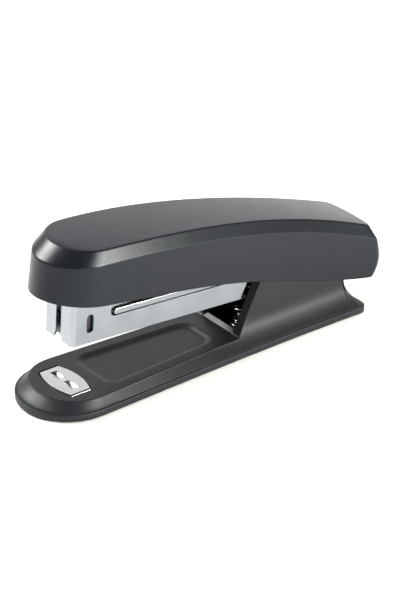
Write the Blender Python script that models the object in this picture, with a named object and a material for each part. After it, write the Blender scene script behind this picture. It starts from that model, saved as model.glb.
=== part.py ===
"""Half-strip desk stapler: black plastic base and cover, pressed-steel magazine between them.

Metres, +Z up. The stapler lies along X with its nose towards -X, and its width is along Y.
The origin is under the middle of the stapler, on the table. Lengths below are in millimetres.
"""

import math

import bmesh
import bpy
import numpy as np

MM = 0.001

# --- fits: one value for each kind of clearance ---
GAP = 0.30            # between pieces of one assembly that only lie against each other
RUN = 0.10            # radial, between the pivot pin and what turns on it
SIDE = 0.35           # sideways, between pieces that swing past each other
SWING = 0.50          # sideways, between the base's uprights and the cover

# --- pivot, shared by the magazine and the cover ---
PIVOT_X = 57.0
PIVOT_Z = 23.0
PIN_R = 1.8
EAR_R = 4.5           # radius of the base and magazine round the pin

# --- magazine: local u runs rearward along its floor, w runs up from the floor ---
MAG_NOSE_X = -55.9
MAG_NOSE_Z = PIVOT_Z - 0.5
MAG_TILT = math.radians(4.04)
MAG_HALF = 7.75       # half the outer width
MAG_H = 16.4          # height of the side walls
SHEET = 0.9           # steel sheet
MAG_LEN = 68.6        # length of the magazine's floor
ARM_W = 6.5           # height of the arms' lower edge behind the floor
INSIDE = MAG_HALF - SHEET   # half the clear width between the side walls
THROAT = 1.3          # room for one staple between the front flanges and the core rail
LIFT_X = MAG_NOSE_X + MAG_LEN + 6.9    # the lifting spring, just behind the magazine's floor

# --- widths, from the magazine outward ---
UPRIGHT_T = 2.45      # thickness of the base's uprights above the flare
WALL = 1.2            # thickness of the cover
UPRIGHT_IN = MAG_HALF + GAP
UPRIGHT_OUT = UPRIGHT_IN + UPRIGHT_T
COVER_WAIST = UPRIGHT_OUT + SWING + WALL

# --- base ---
NOSE_X = MAG_NOSE_X - 13.75     # front tip of the base
BASE_REAR_X = PIVOT_X + 4.8
DECK_Z = 6.0          # flat top of the base
RIM_Z = 2.9           # top of the upright band round the foot of the base
FOOT_Z = 0.3          # the shell's lower edge; the pad reaches down to 0


def floor_at(u, w):
    """World x and z of a point of the magazine, from its local u and w."""
    c, s = math.cos(MAG_TILT), math.sin(MAG_TILT)
    return MAG_NOSE_X + u * c + w * s, MAG_NOSE_Z - u * s + w * c


def local_of(x, z):
    """Magazine u and w of a world point."""
    c, s = math.cos(MAG_TILT), math.sin(MAG_TILT)
    dx, dz = x - MAG_NOSE_X, z - MAG_NOSE_Z
    return dx * c - dz * s, dx * s + dz * c


PIVOT_U, PIVOT_W = local_of(PIVOT_X, PIVOT_Z)


def clear_scene():
    """Removes everything that the startup file brings."""
    for thing in list(bpy.data.objects):
        bpy.data.objects.remove(thing)
    for mesh in list(bpy.data.meshes):
        bpy.data.meshes.remove(mesh)


# --- materials ---

def material(name, colour, roughness, metallic):
    made = bpy.data.materials.new(name)
    made.use_nodes = True
    shader = made.node_tree.nodes["Principled BSDF"]
    shader.inputs["Base Color"].default_value = (*colour, 1.0)
    shader.inputs["Roughness"].default_value = roughness
    shader.inputs["Metallic"].default_value = metallic
    made.diffuse_color = (*colour, 1.0)
    return made


# Colour, roughness and metallic of each finish.
FINISHES = {
    "plastic": ((0.035, 0.036, 0.040), 0.42, 0.0),
    "rubber": ((0.020, 0.020, 0.021), 0.85, 0.0),
    "plate": ((0.62, 0.63, 0.65), 0.30, 1.0),
    "spring": ((0.48, 0.48, 0.50), 0.28, 1.0),
    "pin": ((0.70, 0.70, 0.72), 0.22, 1.0),
}


# --- mesh helpers ---

def solid(name, points, faces, smooth=False):
    """One object from points in millimetres, welded, with its faces turned outward."""
    mesh = bpy.data.meshes.new(name)
    mesh.from_pydata([[float(v) * MM for v in p] for p in points], [], faces)
    shape = bmesh.new()
    shape.from_mesh(mesh)
    bmesh.ops.remove_doubles(shape, verts=shape.verts, dist=1e-6)
    bmesh.ops.dissolve_degenerate(shape, edges=shape.edges, dist=1e-7)
    bmesh.ops.recalc_face_normals(shape, faces=shape.faces)
    for face in shape.faces:
        face.smooth = smooth
    shape.to_mesh(mesh)
    shape.free()
    made = bpy.data.objects.new(name, mesh)
    bpy.context.scene.collection.objects.link(made)
    return made


def guide(made):
    """Marks an object as a tool that only cuts or joins."""
    made.hide_render = True
    made.display_type = "WIRE"
    return made


def boolean(target, tool, operation):
    step = target.modifiers.new(tool.name, "BOOLEAN")
    step.operation = operation
    step.solver = "EXACT"
    step.object = guide(tool)


def cut(target, *tools):
    for tool in tools:
        boolean(target, tool, "DIFFERENCE")


def join(target, *tools):
    for tool in tools:
        boolean(target, tool, "UNION")


def drawn(name, outline, low, high, place):
    """A flat outline of (a, b) pairs drawn out from low to high; place(a, b, c) gives x, y, z."""
    n = len(outline)
    points = [place(a, b, c) for c in (low, high) for a, b in outline]
    faces = [tuple(range(n)), tuple(range(n, 2 * n))]
    faces += [(i, (i + 1) % n, n + (i + 1) % n, n + i) for i in range(n)]
    return solid(name, points, faces)


def prism(name, outline, y0, y1, at=None):
    """A side view of (x, z) pairs, or of pairs that at turns into them, drawn along Y."""
    def place(a, b, y):
        x, z = at(a, b) if at else (a, b)
        return x, y, z

    return drawn(name, outline, y0, y1, place)


def box(name, x0, x1, y0, y1, z0, z1, at=None):
    return prism(name, [(x0, z0), (x1, z0), (x1, z1), (x0, z1)], y0, y1, at)


def slab(name, outline, z0, z1):
    """A plan of (x, y) pairs drawn up."""
    return drawn(name, outline, z0, z1, lambda x, y, z: (x, y, z))


def across(name, outline, x0, x1):
    """A front view of (y, z) pairs drawn along X."""
    return drawn(name, outline, x0, x1, lambda y, z, x: (x, y, z))


def tilted_slab(name, outline, w0, w1):
    """A plan of the magazine, (u, y) pairs, drawn up from its floor."""
    def place(u, y, w):
        x, z = floor_at(u, w)
        return x, y, z

    return drawn(name, outline, w0, w1, place)


def tilted_front(name, outline, u0, u1):
    """A front view of the magazine, (y, w) pairs, drawn rearward."""
    def place(y, w, u):
        x, z = floor_at(u, w)
        return x, y, z

    return drawn(name, outline, u0, u1, place)


def turned(name, profile, origin, axis, count=32):
    """A profile of (radius, height) pairs turned round an axis through origin."""
    axis = np.array(axis, float) / np.linalg.norm(axis)
    side = np.cross(axis, (0.0, 1.0, 0.0) if abs(axis[1]) < 0.9 else (1.0, 0.0, 0.0))
    side /= np.linalg.norm(side)
    other = np.cross(axis, side)
    points, faces = [], []
    for radius, height in profile:
        for k in range(count):
            a = 2 * math.pi * (k + 0.5) / count
            spoke = math.cos(a) * side + math.sin(a) * other
            points.append(np.array(origin) + axis * height + spoke * radius)
    rows = len(profile)
    for r in range(rows - 1):
        for k in range(count):
            j = (k + 1) % count
            faces.append((r * count + k, r * count + j, (r + 1) * count + j, (r + 1) * count + k))
    faces.append(tuple(range(count)))
    faces.append(tuple(range((rows - 1) * count, rows * count)))
    return solid(name, points, faces, smooth=True)


def rod(name, start, end, radius, count=32):
    """A round bar from one point to another."""
    start, end = np.array(start, float), np.array(end, float)
    length = float(np.linalg.norm(end - start))
    return turned(name, [(radius, 0.0), (radius, length)], start, end - start, count)


def pin_rod(name, reach, radius, count=32):
    """A round bar along the pivot's axis, as long on both sides."""
    return rod(name, (PIVOT_X, -reach, PIVOT_Z), (PIVOT_X, reach, PIVOT_Z), radius, count)


def side_rod(name, start, end, y, radius):
    """A round bar between two points of the side view, at one y."""
    return rod(name, (start[0], y, start[1]), (end[0], y, end[1]), radius, 20)


def coil(name, start, end, radius, wire, turns, steps=14, sides=6):
    """A helical spring: a round wire swept along a helix from start to end."""
    start, end = np.array(start, float), np.array(end, float)
    axis = end - start
    length = np.linalg.norm(axis)
    axis /= length
    side = np.cross(axis, (0.0, 1.0, 0.0))
    side /= np.linalg.norm(side)
    other = np.cross(axis, side)
    t = np.linspace(0.0, 1.0, turns * steps + 1)
    turn = 2 * math.pi * turns * t
    low, closed = wire / 2, 1.15 * wire
    knots = [low, low + closed, length - low - closed, length - low]
    heights = np.interp(t, [0.0, 1.0 / turns, 1.0 - 1.0 / turns, 1.0], knots)
    points, faces = [], []
    for angle, height in zip(turn, heights):
        out = math.cos(angle) * side + math.sin(angle) * other
        centre = start + axis * height + out * radius
        for k in range(sides):
            a = 2 * math.pi * k / sides
            points.append(centre + (out * math.cos(a) + axis * math.sin(a)) * wire / 2)
    rows = len(t)
    for r in range(rows - 1):
        for k in range(sides):
            j = (k + 1) % sides
            faces.append((r * sides + k, r * sides + j, (r + 1) * sides + j, (r + 1) * sides + k))
    faces.append(tuple(range(sides)))
    faces.append(tuple(range((rows - 1) * sides, rows * sides)))
    return solid(name, points, faces, smooth=True)


def ball(name, centre, radii, rows=8, count=20):
    """A stretched sphere, as rings of points between two poles."""
    profile = []
    for r in range(rows + 1):
        a = math.pi * (r + 0.5) / (rows + 1)
        profile.append((math.sin(a), math.cos(a)))
    points, faces = [], []
    for radius, height in profile:
        for k in range(count):
            a = 2 * math.pi * k / count
            offset = (radius * math.cos(a), radius * math.sin(a), height)
            points.append([c + r * o for c, r, o in zip(centre, radii, offset)])
    for r in range(rows):
        for k in range(count):
            j = (k + 1) % count
            faces.append((r * count + k, r * count + j, (r + 1) * count + j, (r + 1) * count + k))
    faces.append(tuple(range(count)))
    faces.append(tuple(range(rows * count, (rows + 1) * count)))
    return solid(name, points, faces)


# --- plan outlines: a round nose, two long sides and a square rear with round corners ---

def half_outline(tip, nose_r, rear, corner, half_at, nose_steps=12, side_steps=18):
    """Points of one half, from the tip on the centre line to the rear on the centre line."""
    points = []
    for k in range(nose_steps):
        a = 0.5 * math.pi * k / nose_steps
        x = tip + nose_r * (1 - math.cos(a))
        points.append((x, half_at(x) * math.sin(a)))
    first, last = tip + nose_r, rear - corner
    for k in range(side_steps + 1):
        x = first + (last - first) * k / side_steps
        points.append((x, half_at(x)))
    for k in range(1, 6):
        a = 0.5 * math.pi * k / 5
        x = last + corner * math.sin(a)
        points.append((x, half_at(last) - corner * (1 - math.cos(a))))
    points.append((rear, 0.0))
    return points


def full_outline(half):
    return list(half) + [(x, -y) for x, y in reversed(half[1:-1])]


def stack(name, rings, smooth=True):
    """A solid from plan rings, each a half outline with a height for every x."""
    half_count = len(rings[0][0])
    count = 2 * half_count - 2
    points, faces = [], []
    for half, height in rings:
        points += [(x, y, height(x)) for x, y in full_outline(half)]
    for r in range(len(rings) - 1):
        for k in range(count):
            j = (k + 1) % count
            faces.append((r * count + k, r * count + j, (r + 1) * count + j, (r + 1) * count + k))
    for start in (0, (len(rings) - 1) * count):
        for k in range(half_count - 1):
            near = [start + k, start + k + 1]
            far = [start + (count - k - 1) % count, start + (count - k) % count]
            loop = near + far
            faces.append(tuple(dict.fromkeys(loop)))
    return solid(name, points, faces, smooth)


def smooth_line(stations, degree=3):
    """A smooth curve near the given (x, value) stations: the polynomial that fits them best."""
    xs = [s[0] for s in stations]
    values = [s[1] for s in stations]
    return np.poly1d(np.polyfit(xs, values, degree))


# --- base: shell, rubber pad and anvil ---

BASE_HALF = smooth_line([(-50, 17.8), (-20, 16.9), (8, 16.0), (35, 15.9), (62, 16.2)])
DECK_HALF = np.poly1d([-0.059, 12.4])
FLARE_Z = DECK_Z + 6.5          # height where the uprights start to flare out to the rim
WELL_Z = 2.6                    # floor of the well between the uprights
WELL_X = LIFT_X - 8.3
STOP_RISE = 1.1                 # height of the ridge that stops the paper in front of the well
WELL_REAR_X = PIVOT_X - 7.0
ANVIL_X = MAG_NOSE_X + SHEET + THROAT   # the clinch grooves lie under the staple slot
ANVIL_LEN = 7.4
ANVIL_HALF = 8.8
ANVIL_BULGE = 1.75
ANVIL_TOP = DECK_Z + 0.2
ANVIL_T = 1.1
ANVIL_LIP = 0.7                 # how far each bent end stands out past the flat
PAD_TOP = 1.2
PAD_EDGE = 2.0                  # width of the shell's lower edge round the pad

# Heights of the uprights' leading edge and how far each lies behind the well's front edge.
FRONT_Z = [0, DECK_Z - 2, DECK_Z, DECK_Z + 2, DECK_Z + 4.3, PIVOT_Z - 7.4, PIVOT_Z + 0.3, PIVOT_Z + 4.5]
FRONT_X = [WELL_X + back for back in (-8.3, -5.3, -3.0, -0.9, 0.7, 3.3, 7.3, 9.5)]
REAR_Z = [0, 1, 4, 8, PIVOT_Z - 9.8, PIVOT_Z - 7, PIVOT_Z - 4.2]
REAR_X = [PIVOT_X + back for back in (4.2, 4.0, 1.9, -0.4, -2.2, -1.4, 1.6)]


def upright_front(z):
    """x of the uprights' leading edge: shallow by the deck, then steep up to the cover."""
    return float(np.interp(z, FRONT_Z, FRONT_X))


def upright_rear(z):
    """x of the trailing edge: out to the foot below, round the pivot above."""
    if z > PIVOT_Z - 4.2:
        return PIVOT_X + math.sqrt(max(EAR_R ** 2 - (z - PIVOT_Z) ** 2, 0.0))
    return float(np.interp(z, REAR_Z, REAR_X))


def upright(side):
    """One side wall of the base: flat inside, with an outer face that flares to the rim."""
    foot_z = RIM_Z + 0.2
    heights = [2.0] + [foot_z + (DECK_Z - foot_z) * share for share in (0.0, 0.31, 0.655)]
    heights += [DECK_Z + rise for rise in (0, 1, 2, 3.2, 4.6)]
    heights += [FLARE_Z] + [PIVOT_Z + rise for rise in (-7, -4.2, -3, -1, 1, 3, 4.1, EAR_R)]
    columns = 16
    points, faces = [], []
    for z in heights:
        front, rear = upright_front(z), upright_rear(z)
        drop = max(FLARE_Z - z, 0.0) / (FLARE_Z - RIM_Z)
        for k in range(columns + 1):
            x = front + (rear - front) * k / columns
            foot = BASE_HALF(x) - 0.75
            y = UPRIGHT_OUT + (foot - UPRIGHT_OUT) * min(drop, 1.0) ** 2.6
            points.append((x, side * y, z))
        for k in range(columns + 1):
            x = front + (rear - front) * k / columns
            inner = x - 1.2 * (1 - k / columns) ** 4
            points.append((inner, side * UPRIGHT_IN, z))
    row = 2 * (columns + 1)
    for r in range(len(heights) - 1):
        for k in range(row):
            if k == columns or k == row - 1:
                continue
            faces.append((r * row + k, r * row + k + 1, (r + 1) * row + k + 1, (r + 1) * row + k))
        for k, j in ((0, columns + 1), (columns, row - 1)):
            faces.append((r * row + k, r * row + j, (r + 1) * row + j, (r + 1) * row + k))
    for start in (0, (len(heights) - 1) * row):
        for k in range(columns):
            a, b = start + k, start + columns + 1 + k
            faces.append((a, a + 1, b + 1, b))
    return solid(f"upright_{side}", points, faces)


def base_rings():
    """The shell's outline from its foot up: rim, shadow line, sloping side, flat deck."""
    def rim(inset):
        return half_outline(NOSE_X + inset, 18.4, BASE_REAR_X - inset, 3.0, lambda x: BASE_HALF(x) - inset)

    def deck(inset):
        tip = NOSE_X + 5.0 + inset
        return half_outline(tip, 15.0, BASE_REAR_X - 2.5 - inset, 2.5, lambda x: DECK_HALF(x) - inset)

    def between(share):
        pairs = zip(rim(0.75), deck(0.0))
        return [(a + (c - a) * share, b + (d - b) * share) for (a, b), (c, d) in pairs]

    def flat(z):
        return lambda x: z

    rise = DECK_Z - 0.3 - (RIM_Z + 0.2)
    slope = [(between(s), flat(RIM_Z + 0.2 + rise * s ** 1.25)) for s in (0.0, 0.25, 0.5, 0.75, 1.0)]
    return [
        (rim(0.35), flat(FOOT_Z)),
        (rim(0.0), flat(FOOT_Z + 0.35)),
        (rim(0.0), flat(RIM_Z - 0.25)),
        (rim(0.25), flat(RIM_Z)),
        *slope,
        (deck(0.35), flat(DECK_Z)),
    ]


def anvil_outline(grow, ends):
    """Plan outline of the anvil: straight ends, front and rear edges bowed outward."""
    half = ANVIL_HALF + ends
    points = []
    for side in (-1, 1):
        for k in range(11):
            y = side * half * (2 * k / 10 - 1)
            bow = ANVIL_BULGE * (1 - (y / half) ** 2)
            points.append((ANVIL_X + side * (ANVIL_LEN / 2 + grow + bow), y))
    return points


def recess():
    """Shallow dish in the deck, with sides that slope in."""
    rows = []
    for inset, z in ((-0.6, DECK_Z + 0.6), (0.0, DECK_Z), (1.3, DECK_Z - 0.75), (2.8, DECK_Z - 0.95)):
        front = ANVIL_X + 9.7 + inset
        rear, corner = WELL_X - 8.8 - inset, 6.0 - inset
        outline = []
        for k in range(6):
            a = 0.5 * math.pi * k / 5
            half = 11.3 - inset
            outline.append((front + corner * (1 - math.cos(a)), half - corner * (1 - math.sin(a))))
        for k in range(6):
            a = 0.5 * math.pi * k / 5
            half = 8.6 - inset
            outline.append((rear - corner * (1 - math.sin(a)), half - corner * (1 - math.cos(a))))
        outline = [(front, 0.0)] + outline + [(rear, 0.0)]
        rows.append((outline, lambda x, z=z: z))
    return stack("deck_recess", rows, smooth=False)


def pad_outline(inset):
    """Plan of the pad, or of its pocket, at an inset from the shell's outside."""
    half = half_outline(NOSE_X + inset, 17.0, BASE_REAR_X - inset, 2.0, lambda x: BASE_HALF(x) - inset)
    return full_outline(half)


def build_base():
    shell = stack("base_shell", base_rings())
    join(shell, upright(-1), upright(1))
    well = [(WELL_X, WELL_Z), (WELL_REAR_X, WELL_Z), (WELL_REAR_X, DECK_Z + 2.5), (WELL_X, DECK_Z + 2.5)]
    cut(shell, prism("well", well, -UPRIGHT_IN - 0.02, UPRIGHT_IN + 0.02))
    stop = [(WELL_X - 2.6, DECK_Z - 1.0), (WELL_X - 2.6, DECK_Z), (WELL_X - 1.2, DECK_Z + STOP_RISE)]
    stop += [(WELL_X - 0.6, DECK_Z + STOP_RISE), (WELL_X - 0.6, DECK_Z - 1.0)]
    join(shell, prism("paper_stop", stop, -UPRIGHT_IN - 0.3, UPRIGHT_IN + 0.3))
    cut(shell, recess())
    cut(shell, slab("anvil_pocket", anvil_outline(GAP, ANVIL_LIP + 0.6), DECK_Z - 2.0, DECK_Z + 1.0))
    cut(shell, slab("pad_pocket", pad_outline(PAD_EDGE), -1.0, PAD_TOP + GAP))
    cut(shell, box("hollow", ANVIL_X + 9.7, WELL_X - 8.3, -10.0, 10.0, 0.5, DECK_Z - 2.6))
    cut(shell, pin_rod("pin_bore", 20, PIN_R + RUN))
    return shell


def build_anvil():
    """A stamped plate with two clinch grooves and both ends bent down."""
    plate = slab("anvil_plate", anvil_outline(0.0, ANVIL_LIP), DECK_Z - 1.7, ANVIL_TOP)
    front, rear = ANVIL_X - ANVIL_LEN - 2, ANVIL_X + ANVIL_LEN + 2
    under = box("under_plate", front, rear, -ANVIL_HALF, ANVIL_HALF, DECK_Z - 3, ANVIL_TOP - ANVIL_T)
    cut(plate, under)
    for side in (-1, 1):
        groove = ball(f"groove_{side}", (ANVIL_X, side * 3.7, ANVIL_TOP + 0.25), (1.4, 3.4, 1.0))
        cut(plate, groove)
        lip = [(ANVIL_HALF - 0.5, ANVIL_TOP + 0.5), (ANVIL_HALF + 1.5, ANVIL_TOP + 0.5)]
        lip.append((ANVIL_HALF + 1.5, ANVIL_TOP - 0.9))
        edge = [(side * a, b) for a, b in lip]
        cut(plate, across(f"lip_{side}", edge, front, rear))
    return plate


# --- pivot pin, its retaining rings and the lifting spring ---

LIFT_R = 3.0


def build_pivot():
    pin = pin_rod("pivot_pin", UPRIGHT_OUT + 0.6, PIN_R)
    rings = []
    for name, side in (("pin_ring_near", -1), ("pin_ring_far", 1)):
        start = side * (UPRIGHT_OUT + 0.12)
        end = side * (UPRIGHT_OUT + 0.5)
        ring = rod(name, (PIVOT_X, start, PIVOT_Z), (PIVOT_X, end, PIVOT_Z), PIN_R + 1.4)
        cut(ring, pin_rod(name + "_bore", 20, PIN_R + RUN))
        rings.append(ring)
    return pin, rings


def build_lift_spring():
    seat_z = WELL_Z + 0.02
    cup = turned(
        "spring_cup",
        [(4.2, 0.0), (4.2, 0.9), (LIFT_R - 0.9, 0.9), (LIFT_R - 0.9, 4.0), (LIFT_R - 1.4, 4.6)],
        (LIFT_X, 0, seat_z),
        (0, 0, 1),
        28,
    )
    low = seat_z + 0.9 + 0.05
    high = floor_at(local_of(LIFT_X, MAG_NOSE_Z)[0], ARM_W)[1] - 0.45
    spring = coil("lift_spring", (LIFT_X, 0, low), (LIFT_X, 0, high), LIFT_R, 0.7, 6, steps=18)
    return cup, spring


# --- magazine: channel, core rail, its rivets, and the pusher's rod and spring ---

FRONT_SLOT_HALF = 1.4         # between the two flanges turned in at the front
SLOT_U0 = 15.0                # the long side slots, over the pull bars
SLOT_U1 = MAG_LEN - 3.1
SLOT_W0 = 7.3
SLOT_W1 = 10.9
RAIL_HALF = INSIDE - 1.2      # leaves room for the staples' legs on each side
RAIL_T = 0.8                  # its sheet
RAIL_INSIDE = RAIL_HALF - RAIL_T - SIDE     # half width of what slides or sits in the rail
RAIL_U = SHEET + THROAT       # its front end
RAIL_END = MAG_LEN - 2.1
RAIL_W0 = SHEET + GAP
RAIL_TOP = RAIL_W0 + 6.8
ROD_R = 0.9
ROD_W = RAIL_W0 + ROD_R + 3.0
STOP_U = RAIL_END - 4.5
RIVET_U = (22.0, MAG_LEN - 10.6)
RIVET_R = 1.1                 # shank of the rail's rivets
PUSHER_HALF = INSIDE - SIDE
PUSHER_U = RAIL_U + 0.4
PUSHER_LEN = 13.0


def side_outline():
    """The magazine's side view: floor, slanted end, arms and the eye round the pin."""
    points = [(MAG_LEN, 0.0), (MAG_LEN + 2.7, ARM_W), (PIVOT_U - 14.6, ARM_W)]
    for k in range(17):
        a = math.radians(-120 + 210 * k / 16)
        points.append((PIVOT_U + EAR_R * math.cos(a), PIVOT_W + EAR_R * math.sin(a)))
    return points + [(PIVOT_U - 14.6, MAG_H), (0.0, MAG_H), (0.0, 0.0)]


def front_round(channel, radius, half, name):
    """Rounds the two upright front corners of the channel, inside or out."""
    tools = []
    for side in (-1, 1):
        points = [(-1.0, side * (half + 1.0)), (-1.0, side * (half - radius))]
        for k in range(7):
            a = 0.5 * math.pi * k / 6
            points.append((radius * (1 - math.cos(a)), side * (half - radius + radius * math.sin(a))))
        points.append((radius, side * (half + 1.0)))
        tools.append(tilted_slab(f"{name}_{side}", points, -2.0, MAG_H + 2.0))
    cut(channel, *tools)


def long_slot(u0, u1, w0, w1, radius):
    """Side view of a slot with a round front end."""
    points = [(u1, w0), (u1, w1)]
    for k in range(5):
        a = 0.5 * math.pi * k / 4
        points.append((u0 + radius * (1 - math.sin(a)), w1 - radius * (1 - math.cos(a))))
    for k in range(5):
        a = 0.5 * math.pi * k / 4
        points.append((u0 + radius * (1 - math.cos(a)), w0 + radius * (1 - math.sin(a))))
    return points


def round_window(u0, u1, w0, w1):
    """Side view of an upright window with half-round ends."""
    middle, radius = (u0 + u1) / 2, (u1 - u0) / 2
    points = []
    for k in range(18):
        a = math.pi * (k if k < 9 else k - 1) / 8
        w = w1 - radius if k < 9 else w0 + radius
        points.append((middle + radius * math.cos(a), w + radius * math.sin(a)))
    return points


def build_channel():
    channel = prism("magazine_channel", side_outline(), -MAG_HALF, MAG_HALF, floor_at)
    front_round(channel, 1.3, MAG_HALF, "nose_round")
    arm_roof, behind = ARM_W + SHEET, MAG_LEN + 13.4
    hollow = [(SHEET, SHEET), (MAG_LEN + 1.0, SHEET), (MAG_LEN + 3.6, arm_roof), (behind, arm_roof)]
    hollow += [(behind, -2.0), (PIVOT_U + 8, -2.0), (PIVOT_U + 8, MAG_H + 2), (SHEET, MAG_H + 2)]
    cut(channel, prism("channel_hollow", hollow, -INSIDE, INSIDE, floor_at))
    exit_end = SHEET + THROAT
    cut(channel, box("staple_exit", SHEET - 0.2, exit_end, -INSIDE, INSIDE, -1, SHEET + 0.5, floor_at))
    half = FRONT_SLOT_HALF
    slot = [(-half, MAG_H + 1), (-half, 3.6)]
    slot += [(-half - 2.2 * (1 - math.cos(a)), 3.6 - 4.0 * math.sin(a)) for a in np.linspace(0.2, 1.4, 7)]
    slot += [(-y, w) for y, w in reversed(slot)]
    cut(channel, tilted_front("front_slot", slot, -1.0, SHEET + 0.25))
    width = MAG_HALF + 1
    cut(channel, prism("window", round_window(5.6, 8.3, 3.5, 10.1), -width, width, floor_at))
    slot = long_slot(SLOT_U0, SLOT_U1, SLOT_W0, SLOT_W1, 1.6)
    cut(channel, prism("side_slot", slot, -width, width, floor_at))
    cut(channel, pin_rod("arm_bore", 20, PIN_R + RUN))
    for u in RIVET_U:
        cut(channel, side_rod(f"channel_hole_{int(u)}", floor_at(u, -2), floor_at(u, 2), 0, RIVET_R + GAP))
    return channel


def build_rail():
    rail = box("core_rail", RAIL_U, RAIL_END, -RAIL_HALF, RAIL_HALF, RAIL_W0, RAIL_TOP, floor_at)
    half, floor = RAIL_HALF - RAIL_T, RAIL_W0 + RAIL_T
    cut(rail, box("rail_hollow", RAIL_U + RAIL_T, RAIL_END + 2, -half, half, floor, RAIL_TOP + 2, floor_at))
    for u in RIVET_U:
        cut(rail, side_rod(f"rail_hole_{int(u)}", floor_at(u, 0), floor_at(u, 4), 0, RIVET_R + GAP))
    return rail


def build_rivets():
    made = []
    for name, u in zip(("rail_rivet_front", "rail_rivet_rear"), RIVET_U):
        x, z = floor_at(u, -0.9)
        up = (math.sin(MAG_TILT), 0, math.cos(MAG_TILT))
        top = RAIL_W0 + RAIL_T + GAP + 0.9
        profile = [(1.7, 0.0), (2.2, 0.3), (2.2, 0.6), (RIVET_R, 0.6), (RIVET_R, top), (2.0, top)]
        profile += [(2.0, top + 0.2), (1.5, top + 0.4)]
        made.append(turned(name, profile, (x, 0, z), up, 20))
    return made


def build_pull_bars():
    made = []
    for name, side in (("pull_bar_near", -1), ("pull_bar_far", 1)):
        low = SLOT_W0 + GAP
        outline = long_slot(SLOT_U0 + 1.3, SLOT_U1 - 0.4, low, low + 2.2, 1.0)
        inner = side * (INSIDE + 0.15)
        outer = side * (MAG_HALF + 0.15)
        made.append(prism(name, outline, min(inner, outer), max(inner, outer), floor_at))
    return made


def build_rod():
    """The guide rod, the block that holds its rear end, and the spring wound round it."""
    front, rear = floor_at(RAIL_U + RAIL_T + GAP, ROD_W), floor_at(RAIL_END - 0.6, ROD_W)
    guide_rod = side_rod("guide_rod", front, rear, 0, ROD_R)
    low, high = RAIL_W0 + RAIL_T + GAP, RAIL_TOP - 0.2
    stop = box("rod_stop", STOP_U, STOP_U + 3.2, -RAIL_INSIDE, RAIL_INSIDE, low, high, floor_at)
    bore = side_rod("stop_bore", floor_at(STOP_U - 2, ROD_W), floor_at(STOP_U + 6, ROD_W), 0, ROD_R + GAP)
    cut(stop, bore)
    x0, z0 = floor_at(PUSHER_U + PUSHER_LEN + GAP, ROD_W)
    x1, z1 = floor_at(STOP_U - 0.15, ROD_W)
    spring = coil("pusher_spring", (x0, 0, z0), (x1, 0, z1), ROD_R + 1.1, 0.45, 13, steps=12, sides=5)
    return guide_rod, stop, spring


def build_pusher():
    top = RAIL_TOP + GAP
    u0, u1 = PUSHER_U, PUSHER_U + PUSHER_LEN
    pusher = box("pusher", u0, u1, -PUSHER_HALF, PUSHER_HALF, 2.6, top + 0.8, floor_at)
    inner = RAIL_HALF + GAP
    cut(pusher, box("pusher_saddle", u0 - 1, u1 + 1, -inner, inner, 0, top, floor_at))
    half = RAIL_INSIDE - 0.2
    join(pusher, box("pusher_finger", u0 + 6.0, u1 - 0.2, -half, half, ROD_W - 1.8, top + 0.4, floor_at))
    cut(pusher, side_rod("finger_bore", floor_at(u0 + 4, ROD_W), floor_at(u1 + 2, ROD_W), 0, ROD_R + GAP))
    return pusher


# --- cover: shell, steel frame, driver blade, staple leaf and screws ---

COVER_NOSE_X = MAG_NOSE_X - 8.5     # front tip of the lower edge
COVER_REAR_X = PIVOT_X + 12.8       # rearmost line
BEVEL_OUT = 1.9
BEVEL_DOWN = 4.4

# Heights above the pivot of the top and of the lower edge, and half widths beyond the waist.
TOP_Z = PIVOT_Z + smooth_line(
    [(-64, 34.5), (-47, 33.8), (-25, 31.9), (0, 27.9), (24, 21.9), (48, 14.3), (67, 6.9)]
)
EDGE_Z = PIVOT_Z + smooth_line(
    [(-64, 17.5), (-46, 14.9), (-24, 11.2), (0, 7.0), (24, -0.5), (44, -6.6), (54, -9.6), (62, -11.3), (68, -12.2)], degree=5
)
COVER_HALF = COVER_WAIST + smooth_line(
    [(-58, 2.1), (-40, 2.8), (-24, 2.9), (-8, 2.1), (8, 0.9), (30, 0.0), (52, 0.6), (68, 1.2)]
)


def cover_rings(inset):
    """The cover's outline from the lower edge up, moved inward by inset."""
    def ring(nose, nose_r, rear, narrow, height):
        """One outline: nose and rear give how far it stands in from the two ends."""
        tip, back = COVER_NOSE_X + nose + inset, COVER_REAR_X - rear - inset
        half = half_outline(
            tip, nose_r - inset, back, 2.4, lambda x: COVER_HALF(x) - narrow - inset, 14, 24
        )
        return half, height

    def side(share):
        """Height at a share of the way from the lower edge to the bevel."""
        return lambda x: EDGE_Z(x) + (TOP_Z(x) - BEVEL_DOWN - EDGE_Z(x)) * share

    def bevel(rise):
        return lambda x: TOP_Z(x) - BEVEL_DOWN - inset * 0.3 + BEVEL_DOWN * rise

    def top(x):
        return TOP_Z(x) - inset

    return [
        ring(0.0, 16.5, 2.6, 0.0, EDGE_Z),
        ring(0.5, 16.2, 0.8, 0.0, side(0.22)),
        ring(1.1, 15.6, 0.0, 0.0, side(0.5)),
        ring(1.8, 15.0, 0.3, 0.0, side(0.8)),
        ring(2.3, 14.6, 1.0, 0.0, bevel(0.0)),
        ring(4.9, 13.0, 2.0, BEVEL_OUT * 0.5, bevel(0.55)),
        ring(7.5, 11.5, 3.4, BEVEL_OUT, top),
    ]


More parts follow.
